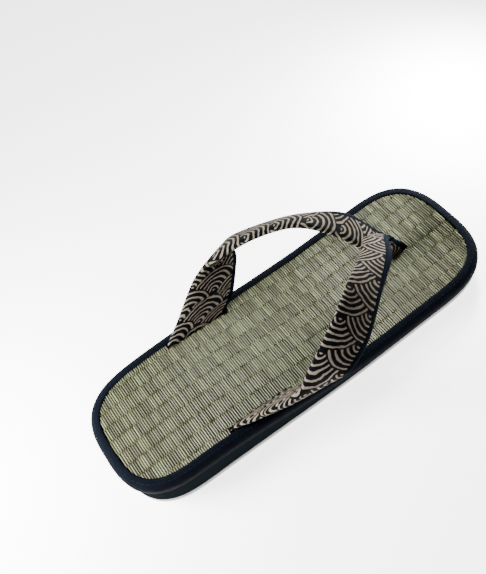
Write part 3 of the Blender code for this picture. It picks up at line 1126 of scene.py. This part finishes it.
def soft_light(name, place, target, size, power):
    """A round soft light that shines from a place to a target."""
    bpy.ops.object.light_add(type="AREA", location=place)
    lamp = bpy.context.active_object
    lamp.name = name
    lamp.data.shape = "DISK"
    lamp.data.size = size
    lamp.data.energy = power
    lamp.rotation_mode = "QUATERNION"
    lamp.rotation_quaternion = (Vector(target) - Vector(place)).to_track_quat("-Z", "Y")


def studio(c):
    """Pale floor, soft lights behind the heel and the toe, a weak fill, and the camera of the photograph."""
    bpy.ops.mesh.primitive_plane_add(size=FLOOR_SIZE)
    floor = bpy.context.active_object
    floor.name = "studio_floor"
    floor.data.materials.append(floor_finish(c))

    world = bpy.data.worlds.new("Studio")
    world.use_nodes = True
    world.node_tree.nodes["Background"].inputs["Color"].default_value = (1.0, 1.0, 1.0, 1.0)
    world.node_tree.nodes["Background"].inputs["Strength"].default_value = SKY_STRENGTH
    bpy.context.scene.world = world

    for light in LIGHTS:
        soft_light(*light)

    bpy.ops.object.camera_add()
    camera = bpy.context.active_object
    camera.name = "Camera"
    right, down, forward = Vector(CAMERA_RIGHT), Vector(CAMERA_DOWN), Vector(CAMERA_FORWARD)
    turn = Matrix((right, -down, -forward)).transposed()
    camera.matrix_world = Matrix.Translation(CAMERA_PLACE) @ turn.to_4x4()
    camera.data.lens = CAMERA_LENS
    camera.data.sensor_width = CAMERA_SENSOR
    camera.data.sensor_fit = "HORIZONTAL"
    camera.data.shift_x, camera.data.shift_y = CAMERA_SHIFT
    camera.data.clip_start, camera.data.clip_end = CAMERA_CLIP
    bpy.context.scene.camera = camera


class ZORI_OT_sole(bpy.types.Operator):
    """Model the rubber outsole and the foam wedge"""

    bl_idname = "zori.sole"
    bl_label = "Sole"

    def execute(self, context):
        outsole(*settings(context))
        midsole(*settings(context))
        return {"FINISHED"}


class ZORI_OT_mat(bpy.types.Operator):
    """Model the rush mat: its backing, its warp threads and every float of rush"""

    bl_idname = "zori.mat"
    bl_label = "Rush mat"

    def execute(self, context):
        mat_backing(*settings(context))
        warp_threads(*settings(context))
        rush_floats(*settings(context))
        return {"FINISHED"}


class ZORI_OT_binding(bpy.types.Operator):
    """Model the binding tape and its stitches"""

    bl_idname = "zori.binding"
    bl_label = "Binding"

    def execute(self, context):
        binding(*settings(context))
        stitches(*settings(context))
        return {"FINISHED"}


class ZORI_OT_strap(bpy.types.Operator):
    """Model the padded strap and its velvet edging"""

    bl_idname = "zori.strap"
    bl_label = "Strap"

    def execute(self, context):
        strap(*settings(context))
        edgings(*settings(context))
        return {"FINISHED"}


class ZORI_OT_studio(bpy.types.Operator):
    """Set up the floor, the lights and the camera"""

    bl_idname = "zori.studio"
    bl_label = "Studio"

    def execute(self, context):
        studio(context.scene.zori_colours)
        return {"FINISHED"}


class ZORI_PT_sidebar(bpy.types.Panel):
    """The steps of the sandal in the sidebar"""

    bl_idname = "ZORI_PT_sidebar"
    bl_label = "Zori sandal"
    bl_space_type = "VIEW_3D"
    bl_region_type = "UI"
    bl_category = "Zori"

    def draw(self, context):
        for step in STEPS:
            self.layout.operator(step.bl_idname)
        for group in settings(context):
            column = self.layout.column()
            for name in group.bl_rna.properties.keys():
                if name not in ("rna_type", "name"):
                    column.prop(group, name)


STEPS = (ZORI_OT_sole, ZORI_OT_mat, ZORI_OT_binding, ZORI_OT_strap, ZORI_OT_studio)
CLASSES = (ZoriSizes, ZoriColours, *STEPS, ZORI_PT_sidebar)


def register():
    for item in CLASSES:
        bpy.utils.register_class(item)
    bpy.types.Scene.zori_sizes = PointerProperty(type=ZoriSizes)
    bpy.types.Scene.zori_colours = PointerProperty(type=ZoriColours)


def unregister():
    del bpy.types.Scene.zori_colours
    del bpy.types.Scene.zori_sizes
    for item in reversed(CLASSES):
        bpy.utils.unregister_class(item)


def settings(context):
    return context.scene.zori_sizes, context.scene.zori_colours


def main():
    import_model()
    register()
    bpy.ops.zori.sole()
    bpy.ops.zori.mat()
    bpy.ops.zori.binding()
    bpy.ops.zori.strap()
    bpy.ops.zori.studio()


if __name__ == "__main__":
    main()
